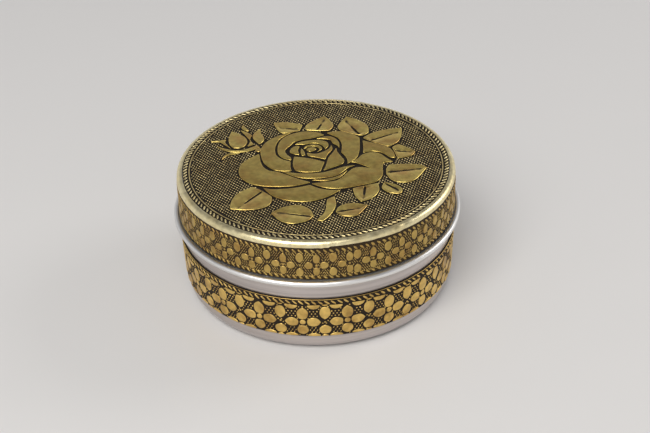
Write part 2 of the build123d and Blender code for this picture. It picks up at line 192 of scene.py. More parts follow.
finishes = {
    "topFoil": {"Gold": (0.63, 0.47, 0.125, 1), "Tarnish": (0.52, 0.32, 0.08, 1), "Polish": 0.33,
                "Grain": 0.4, "Dark Below": 0.06, "Gold Above": 0.3},
    "leafFoil": {"Gold": (0.82, 0.63, 0.185, 1), "Tarnish": (0.62, 0.37, 0.11, 1), "Polish": 0.33,
                 "Grain": 0.4, "Dark Below": 0.1, "Gold Above": 0.3},
    "knurlFoil": {"Gold": (0.84, 0.67, 0.31, 1), "Tarnish": (0.58, 0.42, 0.17, 1), "Polish": 0.32,
                  "Patina": (0.012, 0.007, 0.003, 1), "Grain": 0.2, "Dark Below": 0.08, "Gold Above": 0.26},
    "ropeFoil": {"Gold": (0.9, 0.76, 0.4, 1), "Tarnish": (0.7, 0.54, 0.24, 1), "Polish": 0.38,
                 "Grain": 0.3, "Dark Below": 0.1, "Gold Above": 0.3},
    "bandFoil": {"Gold": (0.82, 0.565, 0.175, 1), "Tarnish": (0.44, 0.26, 0.08, 1), "Polish": 0.33,
                 "Grain": 0.5, "Dark Below": 0.03, "Gold Above": 0.2},
    "lidFoil": {"Gold": (0.56, 0.39, 0.12, 1), "Tarnish": (0.4, 0.235, 0.07, 1), "Polish": 0.36,
                "Patina": (0.04, 0.023, 0.007, 1), "Grain": 0.5, "Dark Below": 0.02, "Gold Above": 0.17},
    # the margin's gold is painted paler and brighter than the lid band strip it is folded from: a painted
    # highlight along the rim
    "marginFoilPaintedHighlight": {"Gold": (0.93, 0.82, 0.5, 1), "Tarnish": (0.86, 0.71, 0.37, 1), "Polish": 0.325,
                   "Grain": 0.2},
    "amberGlue": {"Gold": (0.55, 0.42, 0.2, 1), "Tarnish": (0.4, 0.28, 0.12, 1), "Polish": 0.4, "Grain": 0.5},
}
# the cup's satin aluminium is painted a darker, pinkish grey: a painted reflection of a dark room laid over
# the metal's own grey
satinFinishPaintedReflection = {"Metal": (0.57, 0.52, 0.5, 1), "Polish": 0.3, "Lines": 0.45}
rollFinish = {"Metal": (0.84, 0.83, 0.815, 1), "Polish": 0.34, "Lines": 0.15}

foils = {name: makeMaterial(name, agedFoil, finish) for name, finish in finishes.items()}
satinMetalPaintedReflection = makeMaterial("satinMetalPaintedReflection", turnedMetal, satinFinishPaintedReflection, Metallic=1.0)
rolledMetal = makeMaterial("rolledMetal", turnedMetal, rollFinish, Metallic=1.0)
print("materials made")


# mesh helpers

def liftLayer(bm):
    # how far each point stands off the ground of its foil, for the patina
    return bm.verts.layers.float.get("lift") or bm.verts.layers.float.new("lift")


def setLift(bm, height):
    lift = liftLayer(bm)
    for vert in bm.verts:
        vert[lift] = height(vert.co)


def makePiece(name, bm, body, slot, material, *nodes):
    bmesh.ops.scale(bm, vec=(mm, mm, mm), verts=bm.verts)
    mesh = bpy.data.meshes.new(name)
    bm.to_mesh(mesh)
    bm.free()
    mesh.shade_smooth()
    mesh.materials.append(material)
    piece = bpy.data.objects.new(name, mesh)
    bpy.context.scene.collection.objects.link(piece)
    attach(piece, body)
    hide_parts(*nodes)
    mesh.calc_loop_triangles()
    print(name, len(mesh.loop_triangles), "triangles")


def addMesh(bm, other):
    holder = bpy.data.meshes.new("holder")
    other.to_mesh(holder)
    other.free()
    bm.from_mesh(holder)
    bpy.data.meshes.remove(holder)


def drawProfile(bm, corners, closed=True, segments=6, guard=0.25):
    # corners are (radius, height, rounding), drawn in the plane y = 0
    verts = [bm.verts.new((radius, 0, height)) for radius, height, _ in corners]
    for a, b in zip(verts, verts[1:] + verts[:1] if closed else verts[1:]):
        bm.edges.new((a, b))
    for vert, corner in zip(verts, corners):
        if corner[2]:
            bmesh.ops.bevel(bm, geom=[vert], offset=corner[2], offset_type="OFFSET", segments=segments,
                            profile=0.5, affect="VERTICES", material=-1)
    for edge in [e for e in bm.edges if e.calc_length() > 3 * guard]:
        # a point near each end keeps the flats from shading round
        start = edge.verts[0]
        middle = bmesh.utils.edge_split(edge, start, guard / edge.calc_length())[1]
        rest = max(middle.link_edges, key=lambda e: e.calc_length())
        bmesh.utils.edge_split(rest, rest.other_vert(middle), guard / rest.calc_length())


def spinProfile(bm, steps):
    bmesh.ops.spin(bm, geom=bm.verts[:] + bm.edges[:], cent=(0, 0, 0), axis=(0, 0, 1), angle=tau, steps=steps,
                   use_merge=True)
    bmesh.ops.remove_doubles(bm, verts=bm.verts, dist=1e-4)
    bmesh.ops.recalc_face_normals(bm, faces=bm.faces)


# cup: drawn shell with a flat underside, a ledge, the neck and its rolled lip

cup = {"footInset": 1.2, "heel": 4.3, "sheet": 0.5, "ledge": 27.8, "ledgeRound": 0.12, "neckInset": 0.95,
       "lip": 0.8, "lipInside": 0.29, "steps": 320}


def makeCup():
    high = nodeBox("base_shell")[1]
    wallTop, mouth = high[0], high[2]
    wallFoot = wallTop - cup["footInset"]
    neck = wallTop - cup["neckInset"]
    sheet, ledge, lip = cup["sheet"], cup["ledge"], cup["lip"]
    bore = neck - sheet
    outside, inside = 0.99 * lip, cup["lipInside"]
    curl, under, hollow = neck - 2 * lip, mouth - 2 * lip, bore - 2 * lip + 2 * sheet
    bm = bmesh.new()
    drawProfile(bm, [
        (0, 0, 0), (wallFoot, 0, cup["heel"]), (wallTop, ledge, cup["ledgeRound"]), (neck, ledge, 0),
        (neck, mouth, outside), (curl, mouth, outside), (curl, under, outside), (neck - lip, under, 0),
        (neck - lip, under + sheet, 0), (hollow, under + sheet, inside), (hollow, mouth - sheet, inside),
        (bore, mouth - sheet, inside), (bore, ledge - sheet, 0), (wallTop - sheet, ledge - sheet, 0),
        (wallFoot - sheet, sheet, cup["heel"] - sheet), (0, sheet, 0)], closed=False)
    spinProfile(bm, cup["steps"])
    makePiece("cupShell", bm, "base", "aluminium", satinMetalPaintedReflection, "base_shell")


# cap: drawn shell whose open edge is rolled outwards into a bead

cap = {"sheet": 0.5, "wallInset": 2.5, "corner": 1.1, "rollHeight": 2.1, "rollGap": 0.75, "turn": 0.35,
       "steps": 320}


def makeCap():
    low, high = nodeBox("lid_shell")
    reach, foot, top = high[0], low[2], high[2]
    sheet = cap["sheet"]
    wall = reach - cap["wallInset"]
    inside = wall - sheet
    rollTop = foot + cap["rollHeight"]
    half = 0.49 * cap["rollHeight"]
    bm = bmesh.new()
    drawProfile(bm, [
        (0, top - sheet, 0), (inside, top - sheet, cap["corner"] - sheet), (inside, foot, cap["turn"]),
        (reach, foot, half), (reach, rollTop, half), (wall + cap["rollGap"], rollTop, 0),
        (wall + cap["rollGap"], rollTop - sheet, 0), (reach - sheet, rollTop - sheet, half - sheet),
        (reach - sheet, foot + sheet, half - sheet), (wall, foot + sheet, 0), (wall, top, cap["corner"]),
        (0, top, 0)], closed=False)
    spinProfile(bm, cap["steps"])
    makePiece("capShell", bm, "lid", "aluminium", rolledMetal, "lid_shell")


makeCup()
makeCap()
print("shells made")


# little shapes that repeat: a unit disc raised to a crown, later stretched into knurls, ropes and petals

sunk = 0.02  # how deep what is raised stands in its foil


def raiseFace(bm, foot):
    # the foot stays behind as the closed underside
    grown = bmesh.ops.extrude_face_region(bm, geom=[foot], use_keep_orig=True)
    return [item for item in grown["geom"] if isinstance(item, bmesh.types.BMFace)][0]


def crownedDisc(name, sides, levels):
    # levels are (radius, height) from the rim inwards; the last one is closed to a point
    bm = bmesh.new()
    bmesh.ops.create_circle(bm, cap_ends=True, radius=1, segments=sides)
    top = raiseFace(bm, bm.faces[:][0])
    radius = 1
    for place, (size, height) in enumerate(levels):
        if place:
            bm.normal_update()
            bmesh.ops.inset_individual(bm, faces=[top], thickness=(radius - size) * cos(pi / sides))
            radius = size
        for vert in top.verts:
            vert.co = Vector((vert.co.x, vert.co.y, 0)).normalized() * radius
            vert.co.z = height
    bmesh.ops.poke(bm, faces=[top])
    bmesh.ops.recalc_face_normals(bm, faces=bm.faces)
    mesh = bpy.data.meshes.new(name)
    bm.to_mesh(mesh)
    bm.free()
    return mesh


def turned(x, y, angle):
    return x * cos(angle) - y * sin(angle), x * sin(angle) + y * cos(angle)


def putCopies(bm, shape, places, put):
    # one copy of the little mesh for each place, then put(place, point) says where each of its points goes
    lift = liftLayer(bm)
    first = len(bm.verts)
    for _ in places:
        bm.from_mesh(shape)
    bm.verts.ensure_lookup_table()
    count = len(shape.vertices)
    for index, place in enumerate(places):
        for vert in bm.verts[first + index * count:first + (index + 1) * count]:
            spot, height = put(place, vert.co)
            vert.co = spot
            vert[lift] = height


knurlShape = crownedDisc("knurlShape", 8, [(1, 0), (0.62, 0.75), (0.3, 1)])
strandShape = crownedDisc("strandShape", 12, [(1, 0), (0.86, 0.6), (0.5, 0.95)])
petalShape = crownedDisc("petalShape", 16, [(1, 0), (0.93, 0.72), (0.8, 1), (0.45, 0.9)])
ridgeShape = crownedDisc("ridgeShape", 6, [(1, 0), (0.55, 1)])


# top plate: outlines seen from above, y away from the front, each a ring of smooth stretches
# that run on to the first point of the next

rose = {
    "petalBackRight": [
        [(16.7, 15.3), (20.4, 13.2), (23.7, 11.2)], [(26.1, 9.4), (27.3, 6.2)],
        [(27.6, 2.6), (25.6, 3.3), (23.4, 6.2), (20, 7.6)], [(16.5, 6.8), (16.8, 11)]],
    "petalUpperRight": [
        [(4, 21.4), (8.3, 22.3), (13, 20.2)], [(15.8, 17.3), (15.7, 12.6), (15.3, 7.6), (14, 3)],
        [(10.9, -0.3), (10.9, 2.6), (10.1, 5.4)],
        [(8.9, 7.7), (9.3, 10.6), (9.2, 14.2), (8.1, 17.6), (6, 19.8)]],
    "petalLeft": [
        [(-19.6, 8.3), (-23.4, 5), (-25.9, 1.2), (-26.5, -2.7), (-25.7, -6.9), (-22.6, -10.9),
         (-17.6, -13.2), (-10.2, -13.8), (-6, -13.1)], [(-1.9, -11.6), (-6, -9.3), (-9.6, -6.6)],
        [(-13.2, -4.1), (-16, -3.2), (-17.9, -0.7), (-18.9, 2.6)]],
    "petalBottom": [
        [(-18, -14.1), (-14.9, -15.3), (-10.2, -15.2), (-6.3, -14.6)],
        [(-2.1, -13.3), (0.6, -15.5), (4.3, -16.9)],
        [(8.2, -17), (3.2, -21.2), (-3, -23.6), (-9.2, -22.8), (-14.6, -19.5)]],
    "petalRight": [
        [(-1.8, -12.4), (3.4, -11.7), (6.6, -11.1), (8.6, -9.2), (10.6, -6.2), (12.8, -3.4),
         (15.4, -2.8)], [(19.2, -3.9), (16.6, -1.8), (13.4, 0.4)],
        [(11.9, 0.7), (14.2, 2.5), (16.4, 5.7), (19.8, 6.9), (22.7, 5.5), (24.6, 2.6)],
        [(26.8, 0.1), (23.6, -0.4), (22.9, -3.4), (22.6, -8.4), (20.6, -12.2), (15.8, -14.2),
         (8.2, -16.1), (3, -15.4)]],
    "petalFold": [
        [(-1.9, -10.2), (2.4, -9.9), (6, -8.9), (8.3, -7.3)],
        [(10.9, -4.3), (9.6, -7), (7.4, -9.6), (3.2, -11)]],
    "petalLip": [
        [(-12.5, -3.4), (-7.4, -5.3), (-2.8, -5.9), (2, -5.6), (5.6, -4.2), (9.9, -2.1)],
        [(13.5, -1.4), (11, -3), (9, -5.8), (6.7, -7.8), (3.2, -8.9), (-2.4, -9.2), (-6.8, -7.9)]],
    "petalOuterLeft": [
        [(-8.4, 22.3), (-13, 20.3), (-17.1, 16.4), (-19, 11.7), (-18.9, 6.2), (-17.5, 1.2)],
        [(-14.4, -3), (-11.4, -3.9)], [(-8.4, -3.9), (-8.7, -0.3)],
        [(-8.6, 2.3), (-11.6, 4.1), (-13.7, 7.4), (-13.9, 12.9), (-12.2, 18.2)]],
    "petalCrescent": [
        [(3.4, 19.9), (0.9, 21.9), (-3.6, 22.8), (-8.4, 21.2), (-11.6, 18), (-13.1, 13.4), (-13, 8),
         (-11.2, 4.8)], [(-8.4, 3.1), (-8.5, 5), (-9.9, 7.2), (-10.5, 10.2)],
        [(-8.6, 13.3), (-7, 15.9), (-3.8, 17.3), (-1, 18.1)]],
    "petalHood": [
        [(0.3, 17.4), (2.6, 18.5), (5.3, 18.8), (7.4, 17), (8.5, 14)], [(8.4, 10.4), (7.7, 12.4)],
        [(6.1, 14.1), (5.4, 16.3), (3.3, 17.1)]],
    "petalFront": [
        [(-7.5, 5.6), (-3.5, 4.5), (-0.6, 3.4)], [(3.1, 1.4), (2.4, -1.3)],
        [(1.6, -4.8), (-2.3, -5.1), (-5, -4.7)], [(-7.1, -3.7), (-7.9, -0.3), (-7.8, 2.6)]],
    "petalSide": [
        [(7.4, 11.1), (7.6, 8.5), (8.7, 5.3), (9.9, 2.2)], [(9.4, -0.1), (6.7, -1.8)],
        [(2.5, -4.3), (3.5, -0.5), (4.4, 4.2), (5.8, 7.1)]],
    "heartLeft": [
        [(-9.1, 8.8), (-8.5, 11.2), (-7.2, 12.5)], [(-5.4, 12.8), (-6, 9.9)], [(-5.5, 6.6), (-7.4, 7.3)]],
    "heartBack": [
        [(-7.3, 13.8), (-5.6, 15.3), (-2.4, 16.3), (1.2, 16.4), (4.1, 15.1), (4.7, 12.6)],
        [(3.5, 9.6), (2.9, 12), (1.2, 13.9), (-1.2, 14.4)], [(-3.9, 13.6), (-5.5, 13.8)]],
    "heartRing": [
        [(-4.3, 10.9), (-3.2, 12.6), (-0.8, 13.5), (1.6, 12.5), (2.4, 10.3)],
        [(0.5, 8), (1.4, 10.1), (0.7, 11.7), (-0.9, 12.4), (-2.9, 11.7)], [(-3.6, 10.4)]],
    "heartButton": [
        [(-3.3, 9.9), (-2.3, 11.3), (-0.4, 11.4), (0.5, 10.3), (-0.6, 9.2), (-2, 8.6)]],
    "heartPost": [
        [(-4.9, 11.3), (-4, 9.4)], [(-3.4, 6.3)], [(-4.7, 5.9), (-5.2, 8.6)]],
    "heartFront": [
        [(-3, 8), (-2.5, 5.9), (0.3, 4.6)], [(3.4, 3.1), (4.3, 6.5), (6, 9.7)],
        [(5.7, 13), (4.7, 10.3), (2.7, 8.3), (0.1, 7)]],
}

# outline, then foot and tip of the vein along the middle
leaves = {
    "leafBackLeft": ([
        [(-14.9, 29.7), (-10, 29.9)], [(-4.2, 27.8), (-4.7, 25.7)],
        [(-5.4, 23.4), (-11.3, 22.1), (-13.4, 25)]], [(-4.2, 24.4), (-10.2, 25.6)]),
    "leafBack": ([
        [(3.8, 33.6), (5.8, 30), (6.8, 26.4)], [(5.4, 23), (1, 23.1)],
        [(-3.3, 23.8), (-3.1, 27.2), (-0.4, 30.3)]], [(0.4, 22.6), (2.5, 28)]),
    "leafBackRight": ([
        [(11.7, 32.8), (15.6, 29.9), (19, 25.6)], [(19.2, 20.6), (16.2, 18.9)],
        [(9.2, 22.5), (8.2, 25.4), (9.6, 29.2)]], [(16.3, 18.4), (13, 25.7)]),
    "leafRightHigh": ([
        [(31.2, 23.2), (25.6, 22.4), (20.4, 20.3)], [(16.9, 17.1), (20.4, 13.8)],
        [(25.6, 10.4), (29.2, 13.6), (30.6, 18.1)]], [(19, 14.8), (27.6, 19.3)]),
    "leafRightSmall": ([
        [(26.8, 9.9), (29.3, 11.6), (32.8, 8.8)], [(34.9, 6.6), (33.2, 3.8)], [(28.3, 2.1), (27.6, 6)]],
        [(26.4, 7.6), (31.8, 6.7)]),
    "leafRight": ([
        [(38.1, -4.3), (35.4, -2.4), (31.2, -1.7)], [(25, -1.8), (24, -4.4)],
        [(23.8, -7.8), (25.4, -11.6), (28.7, -13.6), (33.2, -12.3)]], [(23.4, -6.8), (33.4, -5.4)]),
    "leafRightLow": ([
        [(22.7, -13), (21.9, -16.8), (24.4, -19.8), (27.9, -20.4), (28.6, -17.2), (26.2, -14.4)]],
        [(22.2, -12.6), (26.6, -17.6)]),
    "leafBottomRight": ([
        [(12, -16.3), (16.2, -14.9)], [(20.8, -13.4), (20.9, -18), (18.8, -22.3)],
        [(14.5, -24.7), (12.7, -20.9)]], [(16.4, -14.2), (15.7, -20.6)]),
    "leafBottomLeft": ([
        [(-21.6, -13.3), (-18.6, -15.7)],
        [(-14.9, -19.9), (-15.4, -24.2), (-18.4, -26.8), (-23.6, -27.6)],
        [(-28.9, -26.6), (-28.2, -20.9), (-25.9, -16.6)]], [(-17.8, -15.8), (-24.2, -23.8)]),
    "leafFrontLeft": ([
        [(-15.3, -29.8), (-11.6, -26.8), (-6.5, -25.5), (-2.6, -28)],
        [(-1.1, -32.2), (-3.3, -35.1), (-8.3, -36.6), (-12.2, -34.6)]], [(-0.8, -33), (-10.2, -30.4)]),
    "leafFrontRight": ([
        [(16.8, -27), (11.7, -25.4), (7.4, -27)], [(5.9, -30.4), (8.4, -33), (13, -32.8)]],
        [(5.4, -30.6), (12.4, -28.9)]),
}

# stem, bud, sepals and twigs
stemAndBud = {
    "stem": [
        [(3.3, -22.6)], [(6, -20.8), (6.2, -26.6), (4.3, -32.1)], [(1.7, -35.8)],
        [(-0.4, -35), (2.4, -30)]],
    "budLeft": [
        [(-29.7, 24.8), (-30.6, 19.9), (-30.2, 15.6)], [(-28.8, 12.9), (-26.4, 12.6)],
        [(-24.7, 13.9), (-23.9, 17.2), (-25.2, 20.6)]],
    "budMiddle": [
        [(-26.7, 25.4), (-24.1, 23.4)], [(-22.3, 21.6), (-22.9, 18.4)], [(-21.5, 14.9)],
        [(-23.9, 13.6), (-23, 17), (-24.2, 20.4)]],
    "budRight": [
        [(-19.4, 26.1), (-21.6, 22.9), (-22, 19.4)],
        [(-19.7, 14.8), (-18.2, 16.9), (-18, 19.6), (-19.1, 22.6)]],
    "sepalTop": [
        [(-25.8, 29.2), (-24.6, 27)], [(-23.3, 24.4), (-24.6, 24.6), (-26.2, 26.6)]],
    "sepalLeft": [
        [(-36.9, 18.3), (-34, 18.3)], [(-31.4, 19), (-31.6, 16.6)],
        [(-29.4, 12.3), (-32.2, 15.6), (-34, 17.3)], [(-36.9, 17.4)]],
    "twig": [
        [(-34.8, 14.6), (-31.4, 12.4), (-28.2, 11.2), (-24.6, 11.6)], [(-20.4, 14.2)],
        [(-19.3, 12.8), (-23.6, 10.2), (-28.6, 9.9), (-31.9, 11.4)]],
    "twigCurl": [
        [(-26.4, 9.9), (-29.8, 9.3), (-32, 7.6)], [(-32.7, 4.6), (-31.2, 7), (-29.2, 8.4)],
        [(-26.4, 8.9)]],
    "twigJoint": [
        [(-21.2, 11.2)], [(-19.2, 12.4), (-18.9, 10.9)], [(-19.4, 9.5), (-20.6, 10)]],
}

topPlate = {"foil": 0.3, "edgeRise": 0.12, "edgeWide": 0.25, "edgeFoot": 0.3, "edgeRound": 0.1,
            "ringIn": 2.3, "ringWide": 0.5, "ringTop": 0.6, "ringRise": 0.25, "ringRound": 0.09,
            "ropeReach": 0.875, "ropeCount": 153, "ropeLong": 2.4, "ropeWide": 0.68, "ropeRise": 0.42,
            "ropeLean": 49, "drawnField": 43.3, "knurlA": (1.06, 0.48), "knurlB": (-0.70, 0.77),
            "knurlRows": (60, 80), "knurlRadius": 0.38, "knurlRise": 0.3, "knurlClear": 0.3,
            "knurlBetween": 1.0, "knurlToRing": 0.6, "petalBetween": 2.1, "heart": (-2.6, 12.4),
            "heartReach": 9.5, "steps": 320}
pad = {"step": 0.35, "soften": 2, "sink": 0.05, "grid": 0.5, "gridTurn": 0.4, "leafGrid": 0.28,
       "crossed": 0.93, "rise": 0.41, "crown": 0.11, "crownReach": 2.6, "wave": 0.07, "waveLength": 6.0,
       "waveFade": 1.2, "waveShift": 3.7, "vein": 0.5, "veinWide": 0.36, "valley": 0.33, "valleyWide": 1.5}
veinCuts = (-0.6, -0.48, -0.38, -0.29, -0.18, 0, 0.18, 0.29, 0.38, 0.48, 0.6)  # extra cuts along the vein
edgeRings = [(0.05, 0.24), (0.09, 0.36), (0.14, 0.405), (0.2, 0.41)]  # how far in, how high


def smoothLoop(stretches, scale):
    loop = []
    for stretch, after in zip(stretches, stretches[1:] + stretches[:1]):
        points = [Vector((x, y, 0)) * scale for x, y in stretch + after[:1]]
        run = [2 * points[0] - points[1]] + points + [2 * points[-1] - points[-2]]
        for a, b, c, d in zip(run, run[1:], run[2:], run[3:]):
            parts = max(1, round((c - b).length / pad["step"]))
            for part in range(parts):
                t = part / parts
                loop.append(0.5 * (2 * b + (c - a) * t + (2 * a - 5 * b + 4 * c - d) * t * t
                                   + (3 * b - a - 3 * c + d) * t ** 3))
    for _ in range(pad["soften"]):  # takes the sharpness off the corners
        loop = [(a + 2 * b + c) / 4 for a, b, c in zip(loop[-1:] + loop[:-1], loop, loop[1:] + loop[:1])]
    area = sum(a.x * b.y - b.x * a.y for a, b in zip(loop, loop[1:] + loop[:1]))
    return loop if area > 0 else loop[::-1]


def treeOf(points):
    tree = kdtree.KDTree(len(points))
    for index, point in enumerate(points):
        tree.insert((point[0], point[1], 0), index)
    tree.balance()
    return tree


def denser(loop, parts=4):
    return [a.lerp(b, part / parts) for a, b in zip(loop, loop[1:] + loop[:1]) for part in range(parts)]


def untangle(ring, border, inward):
    # points of an inset ring that crossed over near a tip are laid between the last good ones
    good = [border.find((v.co.x, v.co.y, 0))[2] > pad["crossed"] * inward for v in ring]
    count = len(ring)
    if sum(good) < 3:
        middle = sum((v.co for v in ring), Vector()) / count
        for vert in ring:
            vert.co = middle
        return
    index = 0
    start = good.index(True)
    while index < count:
        place = (start + index) % count
        if good[place]:
            index += 1
            continue
        length = 1
        while not good[(place + length) % count]:
            length += 1
        before, after = ring[place - 1].co.copy(), ring[(place + length) % count].co.copy()
        for part in range(length):
            ring[(place + part) % count].co = before.lerp(after, (part + 1) / (length + 1))
        index += length


def padHeight(x, y, distance, seed):
    crown = pad["crown"] * (1 - exp(-(distance / pad["crownReach"]) ** 2))
    place = Vector((x / pad["waveLength"], y / pad["waveLength"], seed))
    wave = pad["wave"] * noise.noise(place) * min(1, distance / pad["waveFade"])
    return crown + wave


def cutAlong(bm, marker, point, across):
    faces = [f for f in bm.faces if f[marker]]
    geom = set(faces)
    for cut in faces:
        geom.update(cut.edges)
        geom.update(cut.verts)
    bmesh.ops.bisect_plane(bm, geom=list(geom), plane_co=point, plane_no=across, dist=1e-4)


def gridCut(bm, face, marker, spacing, angle):
    # cuts one big face into a fine grid, so that it can be crowned
    face[marker] = 1
    for turn in (angle, angle + pi / 2):
        across = Vector((cos(turn), sin(turn), 0))
        along = [v.co.dot(across) for f in bm.faces if f[marker] for v in f.verts]
        place = min(along) + spacing / 2
        while place < max(along):
            cutAlong(bm, marker, across * place, across)
            place += spacing


def makePad(loop, fieldZ, seed, vein=None):
    bm = bmesh.new()
    marker = bm.faces.layers.int.new("inner")
    border = treeOf(denser(loop))
    top = raiseFace(bm, bm.faces.new([bm.verts.new((p.x, p.y, fieldZ - pad["sink"])) for p in loop]))
    for vert in top.verts:
        vert.co.z = fieldZ + edgeRings[0][1] * 0.5
    inward = 0
    for width, height in edgeRings:
        bm.normal_update()
        bmesh.ops.inset_region(bm, faces=[top], thickness=width, use_even_offset=False, use_boundary=True)
        inward += width
        ring = list(top.verts)
        untangle(ring, border, inward)
        for vert in ring:
            vert.co.z = fieldZ + height
    if vein:
        lean = vein[1] - vein[0]
        gridCut(bm, top, marker, pad["leafGrid"], atan2(lean.y, lean.x) + pi / 2)
        across = Vector((-lean.y, lean.x, 0)).normalized()
        for off in veinCuts:
            cutAlong(bm, marker, Vector((*vein[0], 0)) + across * off, across)
    else:
        gridCut(bm, top, marker, pad["grid"], pad["gridTurn"])
    inner = {v for f in bm.faces if f[marker] for v in f.verts}
    for vert in inner:
        x, y = vert.co.x, vert.co.y
        distance = max(0, border.find((x, y, 0))[2] - inward)
        vert.co.z = fieldZ + pad["rise"] + padHeight(x, y, distance, seed)
        if vein:
            away = vert.co.xy - vein[0]
            t = away.dot(lean) / lean.length_squared
            off = abs(away.cross(lean)) / lean.length
            fade = max(0, min(1, (1 - t) * 4))  # over the last quarter of the vein
            vert.co.z -= fade * pad["vein"] * exp(-(off / pad["veinWide"]) ** 4)
            vert.co.z -= pad["valley"] * exp(-off / pad["valleyWide"]) * min(1, distance)
    bm.faces.layers.int.remove(marker)
    bmesh.ops.recalc_face_normals(bm, faces=bm.faces)
    return bm


def makePads(name, outlines, fieldZ, scale, material):
    whole = bmesh.new()
    loops = []
    for seed, shape in enumerate(outlines.values()):
        stretches, vein = shape if isinstance(shape, tuple) else (shape, None)
        loop = smoothLoop(stretches, scale)
        loops.append(loop)
        if vein:
            vein = [Vector(point) * scale for point in vein]
        addMesh(whole, makePad(loop, fieldZ, seed * pad["waveShift"], vein))
    setLift(whole, lambda co: co.z - fieldZ)
    makePiece(name, whole, "lid", "top_foil", material, "lid_top_plate")
    return loops


def insideLoop(x, y, loop):
    inside = False
    for a, b in zip(loop, loop[1:] + loop[:1]):
        if (a.y > y) != (b.y > y) and x < a.x + (y - a.y) * (b.x - a.x) / (b.y - a.y):
            inside = not inside
    return inside


def makeGround(radius, underZ, fieldZ):
    bm = bmesh.new()
    edgeZ, edgeRound = fieldZ + topPlate["edgeRise"], topPlate["edgeRound"]
    middle, half = radius - topPlate["ringIn"], topPlate["ringWide"] / 2
    ringZ, ringRound = fieldZ + topPlate["ringRise"], topPlate["ringRound"]
    ringHalf = topPlate["ringTop"] * half
    drawProfile(bm, [
        (0, underZ, 0), (radius, underZ, 0), (radius, edgeZ, edgeRound),
        (radius - topPlate["edgeWide"], edgeZ, edgeRound), (radius - topPlate["edgeFoot"], fieldZ, 0),
        (middle + half, fieldZ, 0), (middle + ringHalf, ringZ, ringRound),
        (middle - ringHalf, ringZ, ringRound), (middle - half, fieldZ, 0), (0, fieldZ, 0)],
        closed=False, segments=3, guard=0.2)
    spinProfile(bm, topPlate["steps"])
    setLift(bm, lambda co: max(0, co.z - fieldZ))
    makePiece("topGround", bm, "lid", "top_foil", foils["knurlFoil"], "lid_top_plate")


def makeTopRope(radius, fieldZ):
    bm = bmesh.new()
    rope = radius - topPlate["ropeReach"]
    chance = Random(5)
    count = topPlate["ropeCount"]
    places = [(tau * index / count, chance.uniform(0.9, 1.05), chance.uniform(-4, 4))
              for index in range(count)]

    def put(place, point):
        angle, size, sway = place
        x, y = point.x * topPlate["ropeLong"] / 2, point.y * topPlate["ropeWide"] / 2 * size
        out, side = turned(x, y, radians(topPlate["ropeLean"] + sway))
        height = point.z * topPlate["ropeRise"] * size
        reach, turn = rope + out, angle + side / rope
        return (reach * cos(turn), reach * sin(turn), fieldZ + height - sunk), height

    putCopies(bm, strandShape, places, put)
    makePiece("topRope", bm, "lid", "top_foil", foils["ropeFoil"], "lid_top_plate")


def makeKnurls(radius, fieldZ, loops, petalCount):
    # staggered knurl dots wherever no petal, leaf or stem covers the field
    a, b = Vector(topPlate["knurlA"]), Vector(topPlate["knurlB"])
    limit = radius - topPlate["ringIn"] - topPlate["knurlToRing"]
    owner = [index for index, loop in enumerate(loops) for _ in loop]
    border = treeOf([p for loop in loops for p in loop])
    spans = [(min(p.x for p in loop), max(p.x for p in loop),
              min(p.y for p in loop), max(p.y for p in loop), loop) for loop in loops]
    chance = Random(11)
    places = []
    rowsA, rowsB = topPlate["knurlRows"]
    for i in range(-rowsA, rowsA + 1):
        for j in range(-rowsB, rowsB + 1):
            spot = a * i + b * j
            if spot.length > limit or (spot - Vector(topPlate["heart"])).length < topPlate["heartReach"]:
                continue
            if border.find((spot.x, spot.y, 0))[2] < topPlate["knurlClear"]:
                continue
            beside = border.find_range((spot.x, spot.y, 0), topPlate["petalBetween"])
            close = {owner[index] for _, index, away in beside if away < topPlate["knurlBetween"]}
            petals = {owner[index] for _, index, _ in beside if owner[index] < petalCount}
            if len(close) > 1 or len(petals) > 1:
                continue  # grooves between petals stay clean
            if any(x0 < spot.x < x1 and y0 < spot.y < y1 and insideLoop(spot.x, spot.y, loop)
                   for x0, x1, y0, y1, loop in spans):
                continue
            places.append((spot.x, spot.y, chance.uniform(0.93, 1.03), chance.uniform(0.92, 1.0)))
    bm = bmesh.new()

    def put(place, point):
        x, y, size, tall = place
        reach = topPlate["knurlRadius"] * size
        height = point.z * topPlate["knurlRise"] * tall
        return (x + point.x * reach, y + point.y * reach, fieldZ + height - sunk), height

    putCopies(bm, knurlShape, places, put)
    makePiece("topKnurls", bm, "lid", "top_foil", foils["knurlFoil"], "lid_top_plate")


def makeTopPlate():
    low, high = nodeBox("lid_top_plate")
    radius, underZ = high[0], low[2]
    fieldZ = underZ + topPlate["foil"]
    scale = (radius - topPlate["ringIn"] - topPlate["ringWide"] / 2) / topPlate["drawnField"]
    makeGround(radius, underZ, fieldZ)
    makeTopRope(radius, fieldZ)
    petals = makePads("rosePetals", rose, fieldZ, scale, foils["topFoil"])
    others = makePads("roseLeaves", leaves, fieldZ, scale, foils["leafFoil"])
    others += makePads("stemAndBud", stemAndBud, fieldZ, scale, foils["leafFoil"])
    makeKnurls(radius, fieldZ, petals + others, len(petals))


makeTopPlate()
print("top plate made")


# foil bands: every pattern is laid out flat, s along the band from the front and z up, then wrapped round

farthest = 4  # no petal reaches farther than this from its own middle


def wrapPoint(radius, turnRadius, s, z, height):
    turn = s / turnRadius
    return ((radius + height) * sin(turn), -(radius + height) * cos(turn), z)


def petalOutline(u, v, wide, long, tip, blunt):
    # a unit disc point on a petal that is blunt below and runs to a tip above
    reach = hypot(u, v) or 1e-9
    across, along = u / reach, v / reach
    power = 1 + tip * max(0, along) - blunt * max(0, -along)
    return copysign(abs(across) ** power, across) * wide / 2 * reach, along * long / 2 * reach


